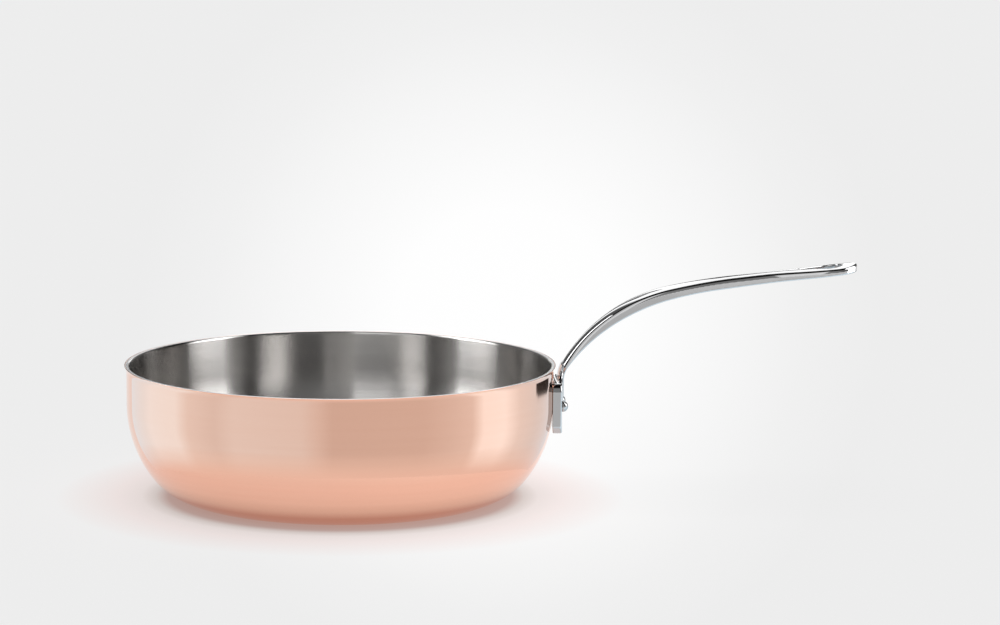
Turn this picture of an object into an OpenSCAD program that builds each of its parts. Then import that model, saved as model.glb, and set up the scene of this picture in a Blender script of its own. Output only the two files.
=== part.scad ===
// Round clad pan with one long riveted handle.
// The origin is the centre of the flat base's underside. +Z is up and +X runs towards the handle.

/* [Pan] */
// Outside diameter of the upright wall
wall_d = 240; // [200:1:280]
// Height of the rim above the base
pan_h = 75; // [65:1:90]
// Height at which the upright wall turns into the curved side
curve_top = 53; // [45:1:58]
// Outside radius of the side's upper, wide curve
side_r = 66; // [60:1:80]
// Outside radius of the side's lower, tight curve
heel_r = 32; // [24:1:40]

/* [Rim] */
// Height of the band that flares outwards under the rim
flare_h = 3; // [1:0.5:4]
// Outside radius of the flare's curve
flare_r = 5; // [5:0.5:10]

/* [Clad layers] */
// Thickness of the copper outside
copper_t = 0.4; // [0.3:0.1:1]
// Thickness of the aluminium in the middle
core_t = 0.9; // [0.8:0.1:2.5]
// Thickness of the stainless steel inside
liner_t = 0.4; // [0.3:0.1:0.8]

/* [Handle flange] */
// Width of the flange that lies on the wall
flange_w = 40; // [34:1:50]
// Height of the flange
flange_h = 28.5; // [24:0.5:32]
// Thickness of the flange, measured outwards from the wall
flange_t = 5; // [3:0.5:6]
// Distance from the rim down to the flange's top edge
flange_drop = 9; // [8:0.1:10]
// Corner radius of the flange
flange_corner = 5; // [2:0.5:8]

/* [Rivets] */
// Distance between the two rivets
rivet_gap = 20; // [18:1:26]
// Distance from the rim down to the rivets
rivet_drop = 23.1; // [21:0.1:25]
// Diameter of a rivet's shank
shank_d = 5; // [4:0.5:6]
// Diameter of the domed head outside
head_d = 6.2; // [6:0.2:7]
// Height of the domed head outside
head_h = 3.2; // [2:0.1:3.4]
// Diameter of the flat head inside the pan
inner_head_d = 10; // [8:0.5:12]
// Height of the flat head inside the pan
inner_head_h = 1.6; // [1:0.1:2.5]

/* [Handle bar] */
// Distance from the pan's axis to the handle's tip
reach = 289.2; // [280:0.1:300]
// Width of the bar just above the flange
neck_w = 12.6; // [10:0.2:16]
// Width of the bar at its swell
swell_w = 17.6; // [14:0.2:20]
// Width of the bar at its waist
waist_w = 12; // [10:0.2:14]
// Width of the loop at the end
loop_w = 23.4; // [22:0.2:26]
// Radius of the round fillets between the neck and the flange
fillet_r = 6; // [3:0.5:7]
// Thickness of the rib that runs down the flange's face from the bar
rib_t = 0.5; // [0.3:0.1:1]

/* [Hanging hole] */
// Diameter of the hole's round end
hole_d = 15; // [11:0.5:15]
// Diameter of the hole's narrow end
hole_narrow_d = 3; // [2:0.5:5]
// Distance between the centres of the hole's two ends
hole_run = 15; // [12:0.5:18]
// Distance from the handle's tip to the centre of the hole's round end
hole_back = 15.7; // [15:0.1:18]

/* [Hidden] */
$fn = 96;
over = 1;
wall_r = wall_d / 2;
layers = [0, copper_t, copper_t + core_t, copper_t + core_t + liner_t];
face_r = wall_r + flange_t;
flange_top = pan_h - flange_drop;
flange_mid = flange_top - flange_h / 2;
rivet_z = pan_h - rivet_drop;
rivet_turn = asin(rivet_gap / 2 / face_r);
// The inner heads' flat undersides clear the curved liner by a hair.
inner_plane = wall_r - layers[3] - 0.3;

// The side's two curves meet where their normals both point this far below the horizontal.
side_turn = asin((curve_top - heel_r) / (side_r - heel_r));
side_c = [wall_r - side_r, curve_top];
heel_c = side_c + (side_r - heel_r) * [cos(side_turn), -sin(side_turn)];

// Each edge of the bar, seen from the side, is a chain of arcs that starts upright and turns level.
// A heading is the edge's slope in degrees at the arcs' ends.
neck_gap = 2.5;
upper_drop = 8;
lower_drop = 9.5;
upper_start = [wall_r + neck_gap, pan_h - upper_drop];
upper_radii = [15.3, 91, 338];
upper_headings = [90, 60.4, 12.6, 6.1];
lower_start = [face_r + rib_t, pan_h - lower_drop];
lower_radii = [14, 104, 215];
lower_headings = [90, 52.9, 14.9, 7.5];
end_run = reach / 2;
rib_above_rivets = 2.4;
rib_bottom = rivet_z + rib_above_rivets;

// Half widths of the bar, seen from above, at distances from the pan's axis
neck_run = 15;
swell_run = 50;
waist_run = 118;
width_marks = [
    [wall_r + neck_run, neck_w / 2],
    [wall_r + swell_run, swell_w / 2],
    [wall_r + waist_run, waist_w / 2],
    [reach - loop_w / 2, loop_w / 2],
];
width_step = 3;
// The hole's middle, and the slope of the bar there, halfway between its two edges' slopes
hole_x = reach - hole_back;
loop_rise = 52.7;
hole_z = pan_h + loop_rise;
hole_cut_h = 40;
bar_tilt = (upper_headings[3] + lower_headings[3]) / 2;

// One slice of a disc, between two directions less than half a turn apart
module slice(centre, r, from, to) {
    intersection() {
        translate(centre) circle(r);
        polygon([
            centre,
            centre + 2 * r * [cos(from), sin(from)],
            centre + 2 * r * [cos((from + to) / 2), sin((from + to) / 2)],
            centre + 2 * r * [cos(to), sin(to)],
        ]);
    }
}

// Half of the pan's section as if it were solid, moved inwards by a depth, up to a given height
module half_section(depth, top) {
    flare_bottom = pan_h - flare_h;
    flare_c = [wall_r + flare_r, flare_bottom];
    polygon([
        [0, depth],
        [heel_c.x, depth],
        side_c + (side_r - depth) * [cos(side_turn), -sin(side_turn)],
        [wall_r - depth, curve_top],
        [wall_r - depth, flare_bottom],
        [0, flare_bottom],
    ]);
    slice(side_c, side_r - depth, -side_turn, 0);
    slice(heel_c, heel_r - depth, -90, -side_turn);
    difference() {
        translate([0, flare_bottom]) square([flare_c.x, top - flare_bottom]);
        translate(flare_c) circle(flare_r + depth);
    }
}

// The solid shape inside one of the clad layers' faces
module pan_solid(depth, top) {
    rotate_extrude() half_section(depth, top);
}

// One clad layer, between two depths, with its rivet holes
module layer(outside, inside) {
    difference() {
        rotate_extrude() difference() {
            half_section(outside, pan_h);
            half_section(inside, pan_h + over);
        }
        at_rivets() cylinder(h = face_r + over, d = shank_d);
    }
}

module copper_shell() {
    color([0.85, 0.55, 0.42]) layer(layers[0], layers[1]);
}

module aluminium_core() {
    color([0.75, 0.76, 0.78]) layer(layers[1], layers[2]);
}

module steel_liner() {
    color([0.52, 0.51, 0.49]) layer(layers[2], layers[3]);
}

// Places its children at both rivets, with Z pointing straight out of the wall
module at_rivets() {
    for (side = [-1, 1]) rotate([0, 90, side * rivet_turn]) translate([-rivet_z, 0, 0]) children();
}

// Half of a domed head's section, standing on a plane at a distance from the pan's axis
module dome_section(plane, d, h) {
    ball_r = (d * d / 4 + h * h) / (2 * h);
    intersection() {
        translate([0, plane + h - ball_r]) circle(ball_r);
        translate([0, plane]) square([d, h + over]);
    }
}

module rivets() {
    color([0.7, 0.7, 0.71]) at_rivets() rotate_extrude() {
        translate([0, inner_plane]) square([shank_d / 2, face_r - inner_plane]);
        dome_section(face_r, head_d, head_h);
        mirror([0, 1]) dome_section(-inner_plane, inner_head_d, inner_head_h);
    }
}

// Where the edge's arc number i ends; arc 0 is the start
function joint(start, radii, headings, i) =
    i == 0 ? start : joint(start, radii, headings, i - 1) + radii[i - 1] * [
        sin(headings[i - 1]) - sin(headings[i]),
        cos(headings[i]) - cos(headings[i - 1]),
    ];

// Everything below one edge of the bar, seen from the side, down to a floor height
module below_edge(start, radii, headings, floor_z) {
    last = len(radii);
    joints = [for (i = [0:last]) joint(start, radii, headings, i)];
    far_end = joints[last] + end_run * [cos(headings[last]), sin(headings[last])];
    polygon(concat(joints, [far_end, [far_end.x, floor_z], [start.x, floor_z]]));
    for (i = [0:last - 1])
        slice(joints[i] + radii[i] * [sin(headings[i]), -cos(headings[i])], radii[i],
            90 + headings[i + 1], 90 + headings[i]);
}

// The bar and the rib below it, seen from the side. The polygon's slanted edge ends inside the flange.
module side_outline() {
    difference() {
        below_edge(upper_start, upper_radii, upper_headings, lower_start.y);
        below_edge(lower_start, lower_radii, lower_headings, lower_start.y - over);
    }
    polygon([
        [wall_r + over, rib_bottom],
        [lower_start.x, rib_bottom],
        [lower_start.x, upper_start.y],
        upper_start,
    ]);
}

// Eases from one width mark to the next along half a cosine wave
function ease(a, b, x) = a[1] + (b[1] - a[1]) * (1 - cos(180 * (x - a[0]) / (b[0] - a[0]))) / 2;

// The bar seen from above, with its round end
module plan_outline() {
    last = len(width_marks) - 1;
    edge = [
        for (i = [0:last - 1], x = [width_marks[i][0]:width_step:width_marks[i + 1][0] - 1])
            [x, ease(width_marks[i], width_marks[i + 1], x)],
        width_marks[last],
    ];
    polygon(concat(
        [[wall_r, neck_w / 2]],
        edge,
        [for (i = [len(edge) - 1:-1:0]) [edge[i].x, -edge[i].y]],
        [[wall_r, -neck_w / 2]]
    ));
    translate([width_marks[last].x, 0]) circle(d = loop_w);
}

// The flange seen from outside the pan, as [y, z], with round corners
module flange_outline() {
    inner_w = flange_w - 2 * flange_corner;
    inner_h = flange_h - 2 * flange_corner;
    translate([0, flange_mid]) {
        square([inner_w, flange_h], center = true);
        square([flange_w, inner_h], center = true);
        for (side = [-1, 1], end = [-1, 1])
            translate([side * inner_w / 2, end * inner_h / 2]) circle(flange_corner);
    }
}

// The neck with its two fillets, seen from outside the pan
module neck_outline() {
    translate([-neck_w / 2, rib_bottom]) square([neck_w, flange_top + fillet_r + over - rib_bottom]);
    difference() {
        translate([-neck_w / 2 - fillet_r, flange_top - over])
            square([neck_w + 2 * fillet_r, fillet_r + over]);
        for (side = [-1, 1])
            translate([side * (neck_w / 2 + fillet_r), flange_top + fillet_r]) circle(fillet_r);
    }
}

// Stands an outline drawn as [y, z] up and runs it along X from one distance to another
module run_along_x(from, to) {
    translate([from, 0, 0]) rotate([90, 0, 90]) linear_extrude(to - from) children();
}

// The hanging hole: a round end, a narrow end and the straight flanks that touch both
module hole_outline() {
    big_r = hole_d / 2;
    small_r = hole_narrow_d / 2;
    lean = asin((big_r - small_r) / hole_run);
    flank = [-sin(lean), cos(lean)];
    circle(big_r);
    translate([-hole_run, 0]) circle(small_r);
    polygon([
        big_r * flank,
        [-hole_run, 0] + small_r * flank,
        [-hole_run, 0] + small_r * [flank.x, -flank.y],
        big_r * [flank.x, -flank.y],
    ]);
}

module handle() {
    color([0.72, 0.72, 0.73]) difference() {
        union() {
            difference() {
                intersection() {
                    cylinder(r = face_r, h = pan_h);
                    run_along_x(wall_r - flange_w / 2, face_r + over) flange_outline();
                }
                pan_solid(layers[0], pan_h + over);
            }
            intersection() {
                rotate([90, 0, 0]) linear_extrude(flange_w, center = true) side_outline();
                union() {
                    run_along_x(wall_r, wall_r + neck_run) neck_outline();
                    translate([0, 0, flange_top + fillet_r]) linear_extrude(pan_h) plan_outline();
                }
            }
        }
        at_rivets() cylinder(h = face_r + over, d = shank_d);
        translate([hole_x, 0, hole_z]) rotate([0, -bar_tilt, 0])
            linear_extrude(hole_cut_h, center = true) hole_outline();
    }
}

copper_shell();
aluminium_core();
steel_liner();
handle();
rivets();
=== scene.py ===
"""The looks of a round clad pan with one long riveted handle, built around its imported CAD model."""
import math

import bpy
import numpy as np
from mathutils import Matrix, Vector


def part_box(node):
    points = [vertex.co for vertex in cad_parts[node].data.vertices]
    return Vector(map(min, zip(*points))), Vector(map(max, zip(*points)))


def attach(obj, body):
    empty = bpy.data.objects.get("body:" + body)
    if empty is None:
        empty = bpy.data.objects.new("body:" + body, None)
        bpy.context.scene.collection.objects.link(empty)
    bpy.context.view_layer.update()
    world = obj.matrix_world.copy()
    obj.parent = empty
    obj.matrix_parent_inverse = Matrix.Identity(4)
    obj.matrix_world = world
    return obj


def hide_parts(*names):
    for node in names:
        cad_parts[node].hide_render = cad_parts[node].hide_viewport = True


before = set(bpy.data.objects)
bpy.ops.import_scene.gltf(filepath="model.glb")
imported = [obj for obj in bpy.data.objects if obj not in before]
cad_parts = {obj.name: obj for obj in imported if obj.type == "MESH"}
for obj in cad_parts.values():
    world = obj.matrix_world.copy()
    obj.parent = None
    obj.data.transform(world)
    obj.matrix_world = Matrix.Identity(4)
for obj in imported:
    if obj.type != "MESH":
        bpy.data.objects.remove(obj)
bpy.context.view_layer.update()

# Sizes are in millimetres until a mesh is made. Those that a box can give come from the packed
# model, and the others are the CAD model's own.
MM = 0.001
TINY = 1e-6  # points nearer than this to each other, or to the axis, are one
shell_high = np.array(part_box("copper_shell")[1]) / MM
handle_low, handle_high = (np.array(c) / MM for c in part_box("handle"))
PAN_H = shell_high[2]
FLARE_H, FLARE_R = 3.0, 5.0
RIM_R = shell_high[1]
WALL_R = RIM_R - (FLARE_R - math.sqrt(FLARE_R ** 2 - FLARE_H ** 2))
CURVE_TOP, SIDE_R, HEEL_R = 53.0, 66.0, 32.0
COPPER_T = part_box("aluminium_core")[0].z / MM
CORE_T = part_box("steel_liner")[0].z / MM - COPPER_T
LINER_T = 0.4
SIDE_TURN = math.asin((CURVE_TOP - HEEL_R) / (SIDE_R - HEEL_R))
SIDE_C = np.array([WALL_R - SIDE_R, CURVE_TOP])
HEEL_C = SIDE_C + (SIDE_R - HEEL_R) * np.array([math.cos(SIDE_TURN), -math.sin(SIDE_TURN)])
FLANGE_T = 5.0
FACE_R = WALL_R + FLANGE_T
RIVET_DROP, RIVET_Y = 23.1, 10.0
RIVET_Z = PAN_H - RIVET_DROP
HEAD_GAP = 0.3  # between the curved liner and the low heads' flat undersides
INNER_PLANE = WALL_R - COPPER_T - CORE_T - LINER_T - HEAD_GAP


# ---------------------------------------------------------------- meshes

def mesh_piece(name, points, faces, normals, slot, nodes):
    """A smooth mesh with its own normals, in the row frame, that stands for CAD nodes."""
    mesh = bpy.data.meshes.new(name)
    mesh.from_pydata((np.asarray(points) * MM).tolist(), [], faces)
    mesh.polygons.foreach_set("use_smooth", [True] * len(mesh.polygons))
    mesh.update()
    mesh.normals_split_custom_set_from_vertices(np.asarray(normals).tolist())
    piece = bpy.data.objects.new(name, mesh)
    bpy.context.scene.collection.objects.link(piece)
    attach(piece, "root")
    if nodes:
        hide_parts(*nodes)
    return piece


def arc(centre, r, start, end, steps, side=1.0):
    """Points and normals along an arc of a section; side -1 turns the normals inwards."""
    a = np.linspace(start, end, steps + 1)
    out = np.stack([np.cos(a), np.sin(a)], 1)
    return np.asarray(centre) + r * out, side * out


def line(p, q, normal, steps=1):
    """Points and normals along a straight stretch of a section."""
    t = np.linspace(0, 1, steps + 1)[:, None]
    points = (1 - t) * np.asarray(p, float) + t * np.asarray(q, float)
    return points, np.tile(np.asarray(normal, float), (steps + 1, 1))


def joined(*runs):
    """One section from runs of points and normals, without the doubled points where they meet."""
    points, normals = [], []
    for run_points, run_normals in runs:
        for p, n in zip(run_points, run_normals):
            if points and np.hypot(*(p - points[-1])) < TINY:
                continue
            points.append(p)
            normals.append(n / np.hypot(*n))
    return np.array(points), np.array(normals)


def eased_corner(p, corner, q, normal_p, normal_q, steps=4):
    """A small rounded corner of a section, from p to q."""
    t = np.linspace(0, 1, steps + 1)[:, None]
    points = (1 - t) ** 2 * p + 2 * t * (1 - t) * corner + t ** 2 * q
    return points, (1 - t) * np.asarray(normal_p) + t * np.asarray(normal_q)


def revolve(points, normals, turns):
    """Vertices, faces and normals of a section spun about Z.

    A point on the axis becomes one vertex.
    """
    spin = np.arange(turns) * 2 * math.pi / turns
    vertices, vertex_normals, rings = [], [], []
    for (r, z), (nr, nz) in zip(points, normals):
        first = len(vertices)
        if r < TINY:
            vertices.append((0.0, 0.0, z))
            vertex_normals.append((0.0, 0.0, math.copysign(1.0, nz)))
            rings.append([first] * turns)
            continue
        vertices.extend((r * math.cos(a), r * math.sin(a), z) for a in spin)
        vertex_normals.extend((nr * math.cos(a), nr * math.sin(a), nz) for a in spin)
        rings.append(list(range(first, first + turns)))
    faces = []
    for low, high in zip(rings, rings[1:]):
        for i in range(turns):
            j = (i + 1) % turns
            corners = [low[i], low[j], high[j], high[i]]
            corners = [c for n, c in enumerate(corners) if c not in corners[:n]]
            if len(corners) > 2:
                faces.append(corners)
    return vertices, faces, vertex_normals


# ---------------------------------------------------------------- the clad pan

RIM_EASE = 0.16  # how far below the rim's top its rounded edges start
OUT_SHARE, IN_SHARE = 0.8, 0.5  # how far across the top they reach, as shares of that
PAN_TURNS, CORE_TURNS = 240, 192  # faces round the pan
LIP_H = 1.5  # how high the liner's inner face flares
FINE_STEPS, PLAIN_STEPS = (22, 20, 8), (12, 10, 5)  # along the heel, the side and the flare


def skin_section(depth, side, fine, flare_h=FLARE_H):
    """Half of a clad layer's face, from the axis up to the rim, and its radius at the top."""
    spread = FLARE_R + depth - math.sqrt((FLARE_R + depth) ** 2 - FLARE_H ** 2)
    flare_r = (spread ** 2 + flare_h ** 2) / (2 * spread)
    flare_c = np.array([WALL_R - depth + flare_r, PAN_H - flare_h])
    top_turn = math.asin((flare_h - RIM_EASE) / flare_r)
    wall = WALL_R - depth
    heel_steps, side_steps, flare_steps = FINE_STEPS if fine else PLAIN_STEPS
    section = joined(
        line([0, depth], [HEEL_C[0], depth], [0, -side], steps=6),
        arc(HEEL_C, HEEL_R - depth, -math.pi / 2, -SIDE_TURN, heel_steps, side),
        arc(SIDE_C, SIDE_R - depth, -SIDE_TURN, 0, side_steps, side),
        line([wall, CURVE_TOP], [wall, flare_c[1]], [side, 0], steps=4),
        arc(flare_c, flare_r, math.pi, math.pi - top_turn, flare_steps, -side),
    )
    return section, WALL_R - depth + spread


def clad_layer(name, outside, inside, fine_outside, fine_inside, slot, node,
               turns=PAN_TURNS, lip_h=FLARE_H):
    """One clad layer as a closed spun shell with eased rim edges. lip_h is its inside's flare."""
    (out_p, out_n), out_x = skin_section(outside, 1.0, fine_outside)
    (in_p, in_n), in_x = skin_section(inside, -1.0, fine_inside, lip_h)
    up = np.array([0.0, 1.0])
    out_corner, in_corner = np.array([out_x, PAN_H]), np.array([in_x, PAN_H])
    out_edge = np.array([out_x - RIM_EASE * OUT_SHARE, PAN_H])
    in_edge = np.array([in_x + RIM_EASE * IN_SHARE, PAN_H])
    section = joined(
        (out_p, out_n),
        eased_corner(out_p[-1], out_corner, out_edge, out_n[-1], up),
        line(out_edge, in_edge, up),
        eased_corner(in_edge, in_corner, in_p[-1], up, in_n[-1]),
        (in_p[::-1], in_n[::-1]),
    )
    return mesh_piece(name, *revolve(*section, turns), slot, [node])


HAIR = 0.012  # between two layers' faces, so that they never share one
copper = clad_layer("pan_copper_skin", 0, COPPER_T - HAIR,
                    True, False, "copper", "copper_shell")
core = clad_layer("pan_aluminium_core", COPPER_T + HAIR, COPPER_T + CORE_T - HAIR,
                  False, False, "aluminium", "aluminium_core", turns=CORE_TURNS)
liner = clad_layer("pan_steel_liner", COPPER_T + CORE_T + HAIR, COPPER_T + CORE_T + LINER_T,
                   False, True, "brushed_steel", "steel_liner", lip_h=LIP_H)


# ---------------------------------------------------------------- rivets

RIVET_TURNS = 72


def rivet(name, side, nodes):
    """One rivet: a domed head with a short straight skirt, its shank, and the low inner head."""
    head_r, head_h, skirt, shank_r = 3.1, 3.2, 0.8, 2.5
    low_r, low_h = 5.0, 1.6
    low_ease, foot_ease, skirt_ease, dome_ease = 0.12, 0.15, 0.2, 0.3
    low_stop = 0.02  # how far short of its foot, in radians, the low head's arc ends
    rise = head_h - skirt
    ball = (head_r ** 2 + rise ** 2) / (2 * rise)
    lean = math.asin(head_r / ball)
    low_ball = (low_r ** 2 + low_h ** 2) / (2 * low_h)
    low_lean = math.asin(low_r / low_ball)
    skirt_top = np.array([head_r, FACE_R + skirt])
    ball_c = np.array([0, FACE_R + head_h - ball])
    dome_start = math.pi / 2 - lean + dome_ease / ball
    dome_p, dome_n = arc(ball_c, ball, dome_start, math.pi / 2, 18)
    low_c = np.array([0, INNER_PLANE - low_h + low_ball])
    low_end = -math.pi / 2 + low_lean - low_stop
    low_p, low_n = arc(low_c, low_ball, -math.pi / 2, low_end, 14)
    low_edge = np.array([low_r - low_ease, INNER_PLANE])
    foot = np.array([head_r - foot_ease, FACE_R])
    section = joined(
        (low_p, low_n),
        eased_corner(low_p[-1], np.array([low_r, INNER_PLANE]), low_edge, low_n[-1], [0, 1]),
        line(low_edge, [shank_r, INNER_PLANE], [0, 1]),
        line([shank_r, INNER_PLANE], [shank_r, FACE_R], [1, 0]),
        line([shank_r, FACE_R], foot, [0, -1]),
        eased_corner(foot, np.array([head_r, FACE_R]),
                     np.array([head_r, FACE_R + foot_ease]), [0, -1], [1, 0]),
        eased_corner(skirt_top - [0, skirt_ease], skirt_top, dome_p[0], [1, 0], dome_n[0]),
        (dome_p, dome_n),
    )
    vertices, faces, normals = revolve(*section, RIVET_TURNS)
    turn = side * math.asin(RIVET_Y / FACE_R)
    # The spin axis becomes the direction straight out of the wall.
    out = np.array([math.cos(turn), math.sin(turn), 0.0])
    across = np.array([-math.sin(turn), math.cos(turn), 0.0])
    up = np.array([0.0, 0.0, 1.0])
    basis = np.stack([across, up, out])
    placed = np.asarray(vertices) @ basis + np.array([0, 0, RIVET_Z])
    return mesh_piece(name, placed, faces, np.asarray(normals) @ basis, "rivet_steel", nodes)


rivets = [rivet("rivet_near_side", -1, ["rivets"]), rivet("rivet_far_side", 1, [])]


# ---------------------------------------------------------------- the cast handle

REACH = handle_high[0]
FLANGE_TOP, FLANGE_H, FLANGE_W, FLANGE_CORNER = PAN_H - 9, 28.5, 40.0, 5.0
NECK_W, FILLET_R = 12.6, 6.0
RIB_BOTTOM = RIVET_Z + 2.4
LOOP_R = 11.7
# Half the bar's width, seen from above, at distances from the pan's axis
WIDTH_MARKS = [(WALL_R + 15, NECK_W / 2), (WALL_R + 50, 8.8), (WALL_R + 118, 6.0),
               (REACH - LOOP_R, LOOP_R)]
# The bar's edges seen from the side: a start, the arcs' radii, and the slopes at the arcs' ends
UPPER = ((WALL_R + 2.5, PAN_H - 8), (15.3, 91, 338), (90, 60.4, 12.6, 6.1))
LOWER = ((FACE_R + 0.5, PAN_H - 9.5), (14, 104, 215), (90, 52.9, 14.9, 7.5))
HOLE_X, HOLE_Z = REACH - 15.7, PAN_H + 52.7
HOLE_R, HOLE_NARROW_R, HOLE_RUN = 7.5, 1.5, 15.0
HOLE_TILT = math.radians(6.8)
CROWN, CROWN_REACH = 1.4, 1.2  # the fall from the bar's middle to its side, and where it stops
# Radii of the casting's rounded edges. The bar's top edges get rounder towards the neck.
TOP_EASE, TOP_EASE_MORE, TOP_EASE_FROM, TOP_EASE_OVER = 1.6, 0.8, 26, 28
EDGE_EASE, RIB_EASE, BACK_EASE, HOLE_EASE = 0.8, 0.5, 0.35, 0.9
BACK_FILLET, BAR_FILLET = 1.5, 0.8
WALL_GAP = 0.02  # between the flange's back and the pan's wall
MARGIN, CELL = 1, 0.5  # of the grid that finds the casting's surface


def edge_distance(x, z, chain):
    """Distance from a chain of arcs that starts upright and turns level.

    It is positive on the chain's upper left side.
    """
    (px, pz), radii, headings = chain
    d = px - x
    for i, r in enumerate(radii):
        h0, h1 = math.radians(headings[i]), math.radians(headings[i + 1])
        cx, cz = px + r * math.sin(h0), pz - r * math.cos(h0)
        past = (x - px) * math.cos(h0) + (z - pz) * math.sin(h0)
        d = np.where(past > 0, np.hypot(x - cx, z - cz) - r, d)
        px, pz = cx - r * math.sin(h1), cz + r * math.cos(h1)
    past = (x - px) * math.cos(h1) + (z - pz) * math.sin(h1)
    return np.where(past > 0, (z - pz) * math.cos(h1) - (x - px) * math.sin(h1), d)


def both(a, b, r):
    """The distance from what two shapes share, with their common edge rounded."""
    return np.minimum(np.maximum(a, b), -r) + np.hypot(np.maximum(a + r, 0), np.maximum(b + r, 0))


def either(a, b, r):
    """The distance from two shapes together, with a round fillet between them."""
    return np.maximum(np.minimum(a, b), r) - np.hypot(np.maximum(r - a, 0), np.maximum(r - b, 0))


def half_width(x):
    """Half the bar's width seen from above, and its slope, at distances from the pan's axis."""
    w = np.full_like(x, WIDTH_MARKS[0][1])
    slope = np.zeros_like(x)
    for (x0, w0), (x1, w1) in zip(WIDTH_MARKS, WIDTH_MARKS[1:]):
        t = np.clip((x - x0) / (x1 - x0), 0, 1)
        w = np.where(x > x0, w0 + (w1 - w0) * (1 - np.cos(math.pi * t)) / 2, w)
        rate = (w1 - w0) * math.pi / (2 * (x1 - x0)) * np.sin(math.pi * t)
        slope = np.where(x > x0, rate, slope)
    return w, slope


def handle_distance(x, y, z):
    """Distance from the handle's surface, negative inside it."""
    upper = edge_distance(x, z, UPPER)
    lower = -edge_distance(x, z, LOWER)
    w, slope = half_width(x)
    loop_x = REACH - LOOP_R
    straight = (np.abs(y) - w) / np.sqrt(1 + slope ** 2)
    sides = np.where(x < loop_x, straight, np.hypot(x - loop_x, y) - LOOP_R)
    crowned = upper + CROWN * np.minimum(np.abs(y) / w, CROWN_REACH) ** 2
    low_down = np.clip((PAN_H + TOP_EASE_FROM - z) / TOP_EASE_OVER, 0, 1)
    top_ease = TOP_EASE + TOP_EASE_MORE * low_down ** 2 * (3 - 2 * low_down)
    bar = np.maximum(both(crowned, sides, top_ease), both(lower, sides, EDGE_EASE))
    bar = both(bar, RIB_BOTTOM - z, RIB_EASE)

    rho = np.hypot(x, y)
    mid_z = FLANGE_TOP - FLANGE_H / 2
    qy = np.abs(y) - (FLANGE_W / 2 - FLANGE_CORNER)
    qz = np.abs(z - mid_z) - (FLANGE_H / 2 - FLANGE_CORNER)
    past_corner = np.hypot(np.maximum(qy, 0), np.maximum(qz, 0))
    plate = past_corner + np.minimum(np.maximum(qy, qz), 0) - FLANGE_CORNER
    outline = either(plate, np.maximum(np.abs(y) - NECK_W / 2, mid_z - z), FILLET_R)
    behind = either(np.maximum(WALL_R + WALL_GAP - rho, z - FLANGE_TOP), upper, BACK_FILLET)
    flange = both(both(outline, rho - FACE_R, EDGE_EASE), behind, BACK_EASE)
    body = either(flange, bar, BAR_FILLET)

    u = (x - HOLE_X) * math.cos(HOLE_TILT) + (z - HOLE_Z) * math.sin(HOLE_TILT)
    lean = math.asin((HOLE_R - HOLE_NARROW_R) / HOLE_RUN)
    along = u * math.cos(lean) + np.abs(y) * math.sin(lean)
    flank = -u * math.sin(lean) + np.abs(y) * math.cos(lean) - HOLE_R
    round_end = np.hypot(u, y) - HOLE_R
    narrow_end = np.hypot(u + HOLE_RUN, y) - HOLE_NARROW_R
    narrow = np.where(along < -HOLE_RUN * math.cos(lean), narrow_end, flank)
    hole = np.where(along > 0, round_end, narrow)
    return both(body, -hole, HOLE_EASE)


GRADIENT_STEP, LEAST_SLOPE = 0.02, 0.05
SLAB = 40  # grid planes worked out at a time
SMOOTH_ROUNDS, KEPT, PULLED = 4, 0.4, 0.6


def gradient(f, p):
    """The slope of f along each axis."""
    g = []
    for axis in range(3):
        shift = np.zeros(3)
        shift[axis] = GRADIENT_STEP
        g.append((f(*(p + shift).T) - f(*(p - shift).T)) / (2 * GRADIENT_STEP))
    return np.stack(g, 1)


def settle(f, p, rounds):
    """Moves points along the gradient onto the surface."""
    for _ in range(rounds):
        g = gradient(f, p)
        p = p - (f(*p.T) / np.maximum((g ** 2).sum(1), LEAST_SLOPE))[:, None] * g
    return p


def skin_of(f, low, high, cell):
    """A quad mesh of where f is zero: one vertex in each grid cell that the surface crosses."""
    axes = [np.arange(lo, hi + cell, cell) for lo, hi in zip(low, high)]
    slabs = [f(axes[0][i:i + SLAB, None, None], axes[1][None, :, None], axes[2][None, None, :])
             for i in range(0, len(axes[0]), SLAB)]
    inside = np.concatenate(slabs) < 0
    nx, ny, nz = (count - 1 for count in inside.shape)
    corners = sum(inside[i:nx + i, j:ny + j, k:nz + k].astype(np.int8)
                  for i in (0, 1) for j in (0, 1) for k in (0, 1))
    crossed = (corners > 0) & (corners < 8)
    number = np.full(crossed.shape, -1)
    number[crossed] = np.arange(crossed.sum())
    cells = np.argwhere(crossed)
    p = np.array([a[0] for a in axes]) + (cells + 0.5) * cell
    quads = []
    for axis in range(3):
        u, v = (axis + 1) % 3, (axis + 2) % 3
        ahead = np.roll(inside, -1, axis)
        edges = np.argwhere(inside != ahead)
        within = edges[:, axis] < inside.shape[axis] - 1
        edges = edges[within & (edges[:, u] > 0) & (edges[:, v] > 0)]
        ring = []
        for du, dv in ((-1, -1), (0, -1), (0, 0), (-1, 0)):
            cell_at = edges.copy()
            cell_at[:, u] += du
            cell_at[:, v] += dv
            ring.append(number[tuple(cell_at.T)])
        ring = np.stack(ring, 1)
        leaving = inside[tuple(edges.T)]
        quads.append(np.where(leaving[:, None], ring, ring[:, ::-1]))
    quads = np.concatenate(quads)
    p = settle(f, p, 4)
    pairs = np.concatenate([quads[:, [i, (i + 1) % 4]] for i in range(4)])
    for _ in range(SMOOTH_ROUNDS):
        total, count = np.zeros_like(p), np.zeros(len(p))
        np.add.at(total, pairs[:, 0], p[pairs[:, 1]])
        np.add.at(count, pairs[:, 0], 1)
        p = settle(f, KEPT * p + PULLED * total / count[:, None], 2)
    g = gradient(f, p)
    return p, quads.tolist(), g / np.linalg.norm(g, axis=1)[:, None]


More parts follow.
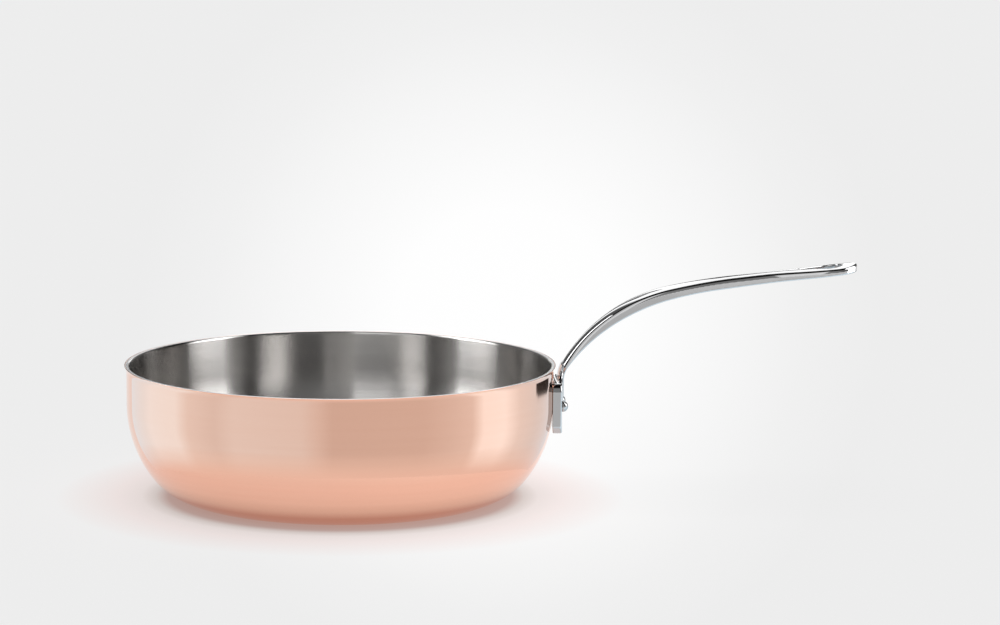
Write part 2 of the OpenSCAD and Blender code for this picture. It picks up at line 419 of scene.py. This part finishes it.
casting = skin_of(handle_distance, handle_low - MARGIN, handle_high + MARGIN, CELL)
handle = mesh_piece("cast_handle", *casting, "polished_steel", ["handle"])


# ---------------------------------------------------------------- materials

class Nodes:
    """A short way to write a node tree."""

    def __init__(self, tree):
        self.tree = tree
        tree.nodes.clear()

    def add(self, kind, inputs=None, **settings):
        node = self.tree.nodes.new(kind)
        for name, value in settings.items():
            setattr(node, name, value)
        for name, value in (inputs or {}).items():
            self.put(node.inputs[name], value)
        return node

    def put(self, socket, value):
        if isinstance(value, bpy.types.NodeSocket):
            self.tree.links.new(value, socket)
        else:
            socket.default_value = value

    def math(self, operation, *values):
        node = self.tree.nodes.new("ShaderNodeMath")
        node.operation = operation
        for socket, value in zip(node.inputs, values):
            self.put(socket, value)
        return node.outputs[0]

    def vector(self, operation, *values):
        node = self.tree.nodes.new("ShaderNodeVectorMath")
        node.operation = operation
        for socket, value in zip(node.inputs, values):
            self.put(socket, value)
        return node.outputs["Value" if operation == "LENGTH" else "Vector"]

    def remap(self, value, low, high, to_low, to_high):
        ends = {"From Min": low, "From Max": high, "To Min": to_low, "To Max": to_high}
        node = self.add("ShaderNodeMapRange", {"Value": value, **ends})
        return node.outputs["Result"]

    def noise(self, vector, scale, detail):
        node = self.add("ShaderNodeTexNoise", {"Vector": vector, "Scale": scale, "Detail": detail})
        return node.outputs["Fac"]

    def blend(self, factor, a, b):
        node = self.add("ShaderNodeMix", data_type="RGBA")
        self.put(node.inputs[0], factor)
        self.put(node.inputs[6], a)
        self.put(node.inputs[7], b)
        return node.outputs[2]

    def ramp(self, factor, stops):
        """stops are (place, grey or colour)."""
        node = self.add("ShaderNodeValToRGB", {"Fac": factor})
        items = node.color_ramp.elements
        while len(items) < len(stops):
            items.new(1.0)
        for item, (place, colour) in zip(items, stops):
            item.position = place
            item.color = (*(colour if isinstance(colour, tuple) else (colour,) * 3), 1)
        return node.outputs["Color"]


def spun_lines(n, position, around, across, detail=2.0):
    """Noise drawn out into fine lines round the Z axis. around and across are its scales."""
    x, y, z = n.add("ShaderNodeSeparateXYZ", {"Vector": position}).outputs
    flat = n.add("ShaderNodeCombineXYZ", {"X": x, "Y": y}).outputs[0]
    rho = n.vector("LENGTH", flat)
    turn = n.add("ShaderNodeVectorMath", operation="SCALE")
    n.put(turn.inputs[0], n.vector("NORMALIZE", flat))
    n.put(turn.inputs["Scale"], around)
    lift = n.add("ShaderNodeCombineXYZ", {"Z": n.math("MULTIPLY", rho, across)}).outputs[0]
    place = n.vector("ADD", turn.outputs[0], lift)
    noise = n.add("ShaderNodeTexNoise", {
        "Vector": place, "W": n.math("MULTIPLY", z, across), "Scale": 1.0,
        "Detail": detail, "Roughness": 0.6}, noise_dimensions="4D")
    return noise.outputs["Fac"]


BRUSH_TURN = 0.25  # turns the gloss's long way along the spun lines
CAST_MARKS = (60.0, 1500.0, 900.0)  # how finely polish marks repeat along each axis


def metal(name, colour, shade, rough, rough_span, line_height, anisotropy=0.0, spun=True):
    """A metal with colour that drifts, roughness that varies, and brush or polish marks."""
    material = bpy.data.materials.new(name)
    material.use_nodes = True
    n = Nodes(material.node_tree)
    position = n.add("ShaderNodeTexCoord").outputs["Object"]
    drift = n.noise(position, 14.0, 3.0)
    if spun:
        lines = spun_lines(n, position, around=3.0, across=2600.0)
        broad = spun_lines(n, position, around=1.2, across=420.0, detail=1.0)
    else:
        lines = n.noise(n.vector("MULTIPLY", position, CAST_MARKS), 1.0, 2.0)
        broad = n.noise(position, 90.0, 2.0)
    tone = n.math("ADD", n.math("MULTIPLY", drift, 0.5), n.math("MULTIPLY", broad, 0.5))
    base = n.blend(n.remap(tone, 0.35, 0.65, 0, 1), colour, shade)
    worn = n.math("ADD", n.math("MULTIPLY", lines, 0.6), n.math("MULTIPLY", drift, 0.4))
    roughness = n.remap(worn, 0.3, 0.7, rough - rough_span, rough + rough_span)
    bsdf = n.add("ShaderNodeBsdfPrincipled", {
        "Base Color": base, "Roughness": roughness, "Metallic": 1.0})
    if anisotropy:
        bsdf.inputs["Anisotropic"].default_value = anisotropy
        bsdf.inputs["Anisotropic Rotation"].default_value = BRUSH_TURN
        tangent = n.add("ShaderNodeTangent", direction_type="RADIAL", axis="Z")
        n.put(bsdf.inputs["Tangent"], tangent.outputs[0])
    bump = n.add("ShaderNodeBump", {"Height": lines, "Strength": 1.0, "Distance": line_height})
    n.put(bsdf.inputs["Normal"], bump.outputs[0])
    out = n.add("ShaderNodeOutputMaterial")
    n.put(out.inputs["Surface"], bsdf.outputs[0])
    return material


copper_metal = metal("polished_copper", (0.97, 0.58, 0.435, 1), (0.96, 0.565, 0.42, 1),
                     0.065, 0.01, line_height=1.2e-8, anisotropy=0.5)
steel_brushed = metal("brushed_steel", (0.68, 0.665, 0.65, 1), (0.62, 0.605, 0.59, 1),
                      0.22, 0.015, line_height=1.2e-7, anisotropy=1.0)
core_metal = metal("bare_aluminium", (0.84, 0.85, 0.86, 1), (0.78, 0.79, 0.80, 1),
                   0.28, 0.04, line_height=3e-7, anisotropy=0.3)
steel_polished = metal("polished_cast_steel", (0.60, 0.60, 0.605, 1), (0.57, 0.57, 0.575, 1),
                       0.06, 0.02, line_height=1e-7, spun=False)
steel_rivet = metal("rivet_steel", (0.56, 0.56, 0.56, 1), (0.50, 0.50, 0.50, 1),
                    0.16, 0.03, line_height=3e-7, spun=False)

for piece, material in [(copper, copper_metal), (core, core_metal), (liner, steel_brushed),
                        (handle, steel_polished), *((r, steel_rivet) for r in rivets)]:
    piece.data.materials.append(material)


# ---------------------------------------------------------------- studio

scene = bpy.context.scene
scene.view_settings.view_transform = "Standard"
scene.view_settings.look = "None"

floor_mesh = bpy.data.meshes.new("studio_floor")
FLOOR, FLOOR_Z = 14.0, -2e-5  # half its width, and its height just under the pan, in metres
floor_corners = [(x * FLOOR, y * FLOOR, FLOOR_Z) for x, y in ((-1, -1), (1, -1), (1, 1), (-1, 1))]
floor_mesh.from_pydata(floor_corners, [], [(0, 1, 2, 3)])
floor = bpy.data.objects.new("studio_floor", floor_mesh)
scene.collection.objects.link(floor)
paper = bpy.data.materials.new("pale_paper")
paper.use_nodes = True
n = Nodes(paper.node_tree)
place = n.add("ShaderNodeTexCoord").outputs["Object"]
fibre = n.add("ShaderNodeTexNoise", {"Vector": place, "Scale": 900.0, "Detail": 2.0}).outputs["Fac"]
shade = n.blend(n.remap(fibre, 0.3, 0.7, 0, 1), (0.840, 0.840, 0.840, 1), (0.855, 0.855, 0.855, 1))
# A wide soft pool of light painted on the paper. It stays put on the floor, but it is shaped for the
# main
# camera: dividing by the way back to it makes the pool look round from there and nowhere else.
EYE_BACK, EYE_UP = 1.666, 0.343  # how far in front of the pan's axis and how high that camera is
LEAST_WAY = 0.5
POOL_SIDE, POOL_DOWN = 0.057, 0.1462  # its middle, as slopes of the sight line to it
POOL_R = 0.125
POOL = [(0.0, 1.0), (0.3, 0.95), (0.6, 0.5), (0.8, 0.17), (1.0, 0.0)]
px, py, _ = n.add("ShaderNodeSeparateXYZ", {"Vector": place}).outputs
near = n.math("DIVIDE", 1.0, n.math("MAXIMUM", n.math("ADD", py, EYE_BACK), LEAST_WAY))
side = n.math("SUBTRACT", n.math("MULTIPLY", px, near), POOL_SIDE)
deep = n.math("SUBTRACT", n.math("MULTIPLY", near, EYE_UP), POOL_DOWN)


def distance(a, b):
    """The nodes for the length of a step of a one way and b the other."""
    return n.math("POWER", n.math("ADD", n.math("MULTIPLY", a, a), n.math("MULTIPLY", b, b)), 0.5)


# The painted pool of light lifts the paper's colour towards white.
pool = n.ramp(n.math("DIVIDE", distance(side, deep), POOL_R), POOL)
shade = n.blend(pool, shade, (1.0, 1.0, 1.0, 1))
# Warm light that the copper throws on the paper close round it, painted on, not traced, and painted
# shade that darkens the paper further in, round the pan's foot.
WARM_OUT = 0.2  # how far from the pan's axis, in metres, a stop at 1 would be
WARM_AND_SHADE = [(0.0, (0.50, 0.29, 0.24)), (0.44, (0.58, 0.38, 0.33)), (0.485, (0.60, 0.43, 0.39)),
        (0.52, (0.80, 0.72, 0.69)), (0.56, (0.95, 0.87, 0.85)), (0.63, (1.0, 0.91, 0.895)),
        (0.70, (1.0, 0.945, 0.935)), (0.75, (1.0, 0.97, 0.965)), (0.80, (1.0, 1.0, 1.0))]
warm_and_shade = n.ramp(n.math("DIVIDE", distance(px, py), WARM_OUT), WARM_AND_SHADE)
tint = n.add("ShaderNodeMix", data_type="RGBA", blend_type="MULTIPLY")
n.put(tint.inputs[0], 1.0)
n.put(tint.inputs[6], shade)
n.put(tint.inputs[7], warm_and_shade)
shade = tint.outputs[2]
# The paper glows with painted light of its own, though it is no lamp, so shadows on it stay faint.
PAPER_GLOW_SHARE = 0.88  # the paper's share of light of its own
matt = n.add("ShaderNodeBsdfDiffuse", {"Color": shade})
paper_glow = n.add("ShaderNodeEmission", {"Color": shade})
mixed = n.add("ShaderNodeMixShader", {"Fac": PAPER_GLOW_SHARE})
n.put(mixed.inputs[1], matt.outputs[0])
n.put(mixed.inputs[2], paper_glow.outputs[0])
out = n.add("ShaderNodeOutputMaterial")
n.put(out.inputs["Surface"], mixed.outputs[0])
floor_mesh.materials.append(paper)


def softbox(name, place, facing, width, radiance):
    """A tall flat light that only reflections show. radiance is how bright its face looks."""
    data = bpy.data.lights.new(name, "AREA")
    data.shape = "RECTANGLE"
    data.size, data.size_y = width, STRIP_H
    data.energy = radiance * math.pi * width * STRIP_H
    light = bpy.data.objects.new(name, data)
    scene.collection.objects.link(light)
    light.location = place
    z = -np.array(facing, float)
    x = np.cross([0.0, 0.0, 1.0], z)
    y = np.cross(z, x)
    rows = [(x[i], y[i], z[i], place[i]) for i in range(3)]
    light.matrix_world = Matrix(rows + [(0, 0, 0, 1)])
    light.visible_camera = False
    light.visible_diffuse = False


STRIP_H, STRIP_Z = 0.65, 0.395
softbox("right_strip", (0.50, -0.008, STRIP_Z), (-1, 0, 0), 0.255, 3.4)
softbox("left_strip", (-0.375, 0.043, STRIP_Z), (1, 0, 0), 0.205, 3.9)

# Cards on the table round the pan that only reflections show, laid out for the main camera: each
# spoke runs the way that the upright wall's mirror sends its sight. A spoke has a bearing in
# degrees, positive to the camera's right, how bright the cards are there, and how cool.
SPOKES = [
    (-150, 0.80, 0.5), (-130, 0.86, 0.5), (-122, 0.92, 0.5), (-98, 0.92, 0.5), (-88, 0.82, 0.25),
    (-70, 0.75, 0.2), (-58, 0.80, 0.28), (-20, 0.77, 0.22), (-12, 0.73, 0.1), (-4, 0.66, 0.0),
    (45, 0.68, 0.0), (62, 0.74, 0.06), (74, 0.80, 0.1), (82, 1.04, 0.33), (98, 1.06, 0.36),
    (112, 0.84, 0.27), (130, 0.76, 0.3), (160, 0.76, 0.33)]
GREEN_SHARE = 0.6  # how much of a card's coolness its green gets; its blue gets it all
# One dark card lies to the right, behind the pan: its middle and half width are sines of half
# bearings, its near edge is a reach in metres, and its near corners are rounded by the last.
DARK_CARD, CARD_SINE, CARD_SPREAD, CARD_START, CARD_ROUND = 0.03, 0.935, 0.032, 0.365, 0.028
CARDS_Z = 3e-4
bearings = np.linspace(-150, 160, 311)
spoke_bearings, spoke_levels, spoke_cools = zip(*SPOKES)
levels = np.interp(bearings, spoke_bearings, spoke_levels)
cools = np.interp(bearings, spoke_bearings, spoke_cools)
PAPER_LEVEL = 0.848
# Reaches out from the wall in metres, and the card's share of the light there over the paper's
REACHES = [(0.025, 0.0), (0.055, 0.5), (0.10, 1.0), (0.22, 1.04), (0.30, 1.0), (0.355, 1.0),
           (0.365, 1.0), (0.375, 1.0), (0.385, 1.0), (0.395, 1.0), (0.41, 1.0), (0.8, 1.0)]
warm_and_shade_places = [place for place, _ in WARM_AND_SHADE]
warm_and_shade_colours = list(zip(*(colour for _, colour in WARM_AND_SHADE)))
points, faces, glow = [], [], []
for bearing, level, cool in zip(np.radians(bearings), levels, cools):
    for reach, share in REACHES:
        points.append((WALL_R * MM * math.sin(bearing / 2) + reach * math.sin(bearing),
                       -WALL_R * MM * math.cos(bearing / 2) - reach * math.cos(bearing),
                       CARDS_Z))
        off_middle = abs(math.sin(bearing / 2) - CARD_SINE) / CARD_SPREAD
        in_card = off_middle < 1 and reach > CARD_START + CARD_ROUND * (
            1 - math.sqrt(1 - off_middle ** 2))
        # Near the wall a card takes the paper's colour there, its painted warm light and painted
        # shade included.
        out = math.hypot(*points[-1][:2]) / WARM_OUT
        paper_there = [PAPER_LEVEL * np.interp(out, warm_and_shade_places, part) for part in warm_and_shade_colours]
        card = [level, level * (1 + GREEN_SHARE * cool), level * (1 + cool)]
        glow.extend(DARK_CARD if in_card else a * share + b * (1 - share)
                    for a, b in zip(card, paper_there))
        glow.append(1.0)
ring = len(REACHES)
for i in range(len(bearings) - 1):
    for k in range(ring - 1):
        first = i * ring + k
        faces.append((first, first + 1, first + ring + 1, first + ring))
cards_mesh = bpy.data.meshes.new("table_cards")
cards_mesh.from_pydata(points, [], faces)
cards_mesh.attributes.new("glow", "FLOAT_COLOR", "POINT").data.foreach_set("color", glow)
cards = bpy.data.objects.new("table_cards", cards_mesh)
scene.collection.objects.link(cards)
for kind in ("camera", "diffuse", "transmission", "volume_scatter", "shadow"):
    setattr(cards, "visible_" + kind, False)
card_light = bpy.data.materials.new("card_light")
card_light.use_nodes = True
n = Nodes(card_light.node_tree)
glow_at = n.add("ShaderNodeAttribute", attribute_name="glow").outputs["Color"]
shine = n.add("ShaderNodeEmission", {"Color": glow_at})
out = n.add("ShaderNodeOutputMaterial")
n.put(out.inputs["Surface"], shine.outputs[0])
cards_mesh.materials.append(card_light)

sun = bpy.data.lights.new("overhead", "SUN")
sun.energy = math.pi
sun.angle = math.radians(60)
overhead = bpy.data.objects.new("overhead", sun)
overhead.visible_glossy = False
overhead.visible_camera = False
scene.collection.objects.link(overhead)

world = bpy.data.worlds.new("studio")
scene.world = world
world.use_nodes = True
n = Nodes(world.node_tree)
toward = n.vector("NORMALIZE", n.add("ShaderNodeTexCoord").outputs["Generated"])
dx, dy, dz = n.add("ShaderNodeSeparateXYZ", {"Vector": toward}).outputs
bearing = n.math("ARCTAN2", dx, n.math("MULTIPLY", dy, -1.0))
turn = n.math("ADD", n.math("DIVIDE", bearing, 2 * math.pi), 0.5)
height = n.math("DIVIDE", n.math("ARCSINE", dz), math.pi / 2)


def at(degrees):
    """A bearing's place on the ramp: 0 is where the camera stands, and positive is to its right."""
    return degrees / 360 + 0.5


BANDS = [(-180, 0.0), (-155, 0.12), (-104, 0.12), (-98, 0.02), (-51, 0.02), (-49, 0.85),
         (-43, 0.9), (-38, 0.65), (-33, 0.65), (-28, 1.0), (-9, 1.15), (-7, 0.32), (33, 0.15),
         (36, 0.17), (49, 0.22), (51, 0.01), (69, 0.01), (98, 0.0), (118, 0.0), (130, 0.10),
         (155, 0.12), (180, 0.0)]
bands = n.ramp(turn, [(at(degrees), level) for degrees, level in BANDS])
ceiling = n.ramp(height, [(0.0, 1.0), (0.55, 1.0), (0.7, 0.04), (1.0, 0.04)])
# A pale wall stands behind the pan, with three dark uprights against it. The uprights' sides are
# in degrees from straight behind it.
UPRIGHTS = [(-5.8, -3.2), (2.4, 5.0), (6.0, 10.5)]
UPRIGHT_SPAN, UPRIGHT_BLUR, UPRIGHT_DARK = 20, 0.3, 0.95
wall = n.ramp(n.math("ABSOLUTE", n.math("SUBTRACT", turn, 0.5)),
              [(0.0, 0.0), (0.445, 0.0), (0.46, 1.6), (0.5, 1.6)])
wall_height = n.ramp(height, [(0.0, 0.03), (0.04, 0.03), (0.06, 1.0), (0.52, 1.0), (0.6, 0.03),
                              (1.0, 0.03)])
sideways = n.math("SUBTRACT", n.math("FRACT", n.math("ADD", turn, 0.5)), 0.5)
stops = [(0.0, 0.0)]
for start, end in UPRIGHTS:
    sides = (start - UPRIGHT_BLUR, 0.0), (start, 1.0), (end, 1.0), (end + UPRIGHT_BLUR, 0.0)
    stops += [(0.5 + side / (2 * UPRIGHT_SPAN), dark) for side, dark in sides]
uprights = n.ramp(n.remap(sideways, -UPRIGHT_SPAN / 360, UPRIGHT_SPAN / 360, 0, 1),
                  stops + [(1.0, 0.0)])
low = n.ramp(height, [(0.0, 1.0), (0.27, 1.0), (0.3, 0.0), (1.0, 0.0)])
shut = n.math("MULTIPLY", n.math("MULTIPLY", uprights, low), UPRIGHT_DARK)
clear = n.math("SUBTRACT", 1.0, shut)
wall = n.math("MULTIPLY", n.math("MULTIPLY", wall, wall_height), clear)
light = n.math("ADD", n.math("MULTIPLY", bands, ceiling), wall)
background = n.add("ShaderNodeBackground", {"Color": light})
out = n.add("ShaderNodeOutputWorld")
n.put(out.inputs["Surface"], background.outputs[0])
world.cycles_visibility.diffuse = False


camera_data = bpy.data.cameras.new("camera")
camera_data.lens = 108
camera_data.sensor_width = 36
camera_data.shift_x = 0.16
camera = bpy.data.objects.new("camera", camera_data)
scene.collection.objects.link(camera)
RANGE, LIFT, AIM_Z, PITCH = 1.693, math.radians(10.31), 0.040, math.radians(8.18)
camera.location = (0, -RANGE * math.cos(LIFT), AIM_Z + RANGE * math.sin(LIFT))
camera.rotation_euler = (math.pi / 2 - PITCH, 0, 0)
scene.camera = camera
